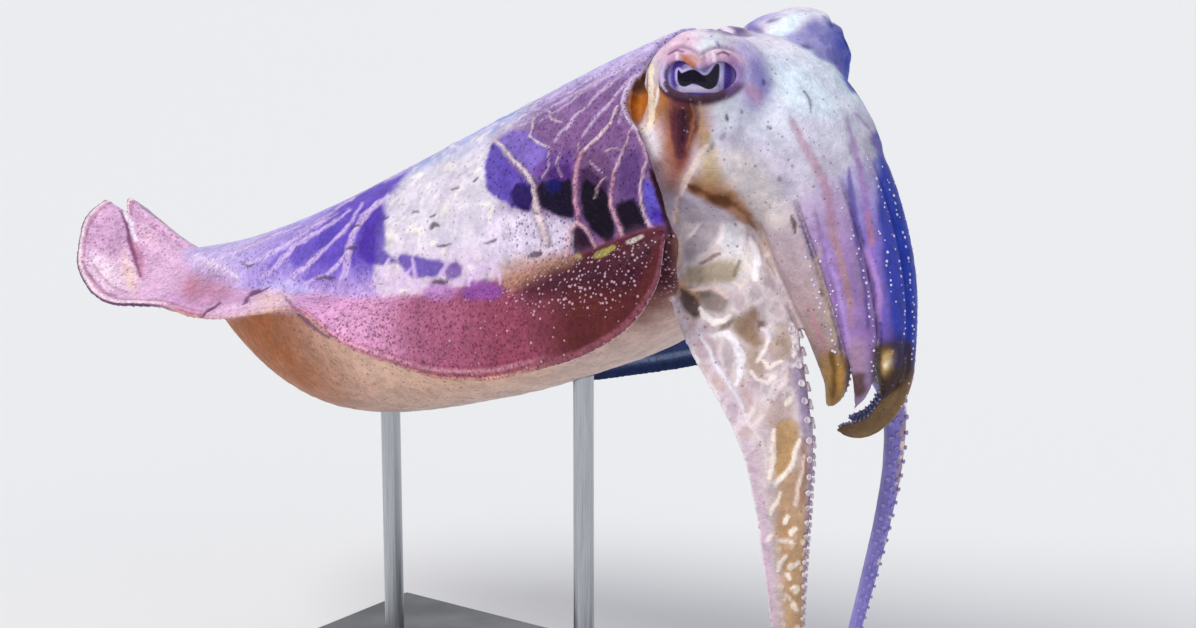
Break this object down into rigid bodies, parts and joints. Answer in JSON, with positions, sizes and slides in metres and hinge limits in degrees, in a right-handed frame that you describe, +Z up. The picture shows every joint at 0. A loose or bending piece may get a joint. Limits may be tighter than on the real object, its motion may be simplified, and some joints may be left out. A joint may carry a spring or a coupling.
{
  "type": "cuttlefish model",
  "caption": "Life-size model of a hovering common cuttlefish, head up with arms hanging down and fins spread, on a flat stand with plain rods.",
  "frame": {"origin": "centre of the underside of the stand's base", "axes": "+X forward, the way the head points; +Y the animal's left; +Z up"},
  "size_m": [0.3003, 0.1126, 0.222],
  "materials": {
    "mantle": "soft satin skin",
    "fin": "soft satin skin",
    "head": "soft satin skin",
    "eye": "glossy",
    "funnel": "soft satin skin",
    "arm": "soft satin skin",
    "fourth": "soft satin skin",
    "base": "satin paint",
    "rod": "brushed"
  },
  "bodies": {
    "root": {"mantle": "mantle", "fin_right": "fin", "fin_left": "fin", "head": "head", "eye_right": "eye", "eye_left": "eye", "funnel": "funnel", "stand_base": "base", "stand_rod_front": "rod", "stand_rod_back": "rod", "arm_right_1_base": "arm", "arm_right_1_tip": "arm", "arm_right_2_base": "arm", "arm_right_2_tip": "arm", "arm_right_3_base": "arm", "arm_right_3_tip": "arm", "arm_right_4_base": "fourth", "arm_right_4_middle": "fourth", "arm_right_4_tip": "fourth", "arm_left_1_base": "arm", "arm_left_1_tip": "arm", "arm_left_2_base": "arm", "arm_left_2_tip": "arm", "arm_left_3_base": "arm", "arm_left_3_tip": "arm", "arm_left_4_base": "fourth", "arm_left_4_middle": "fourth", "arm_left_4_tip": "fourth"}
  },
  "joints": []
}
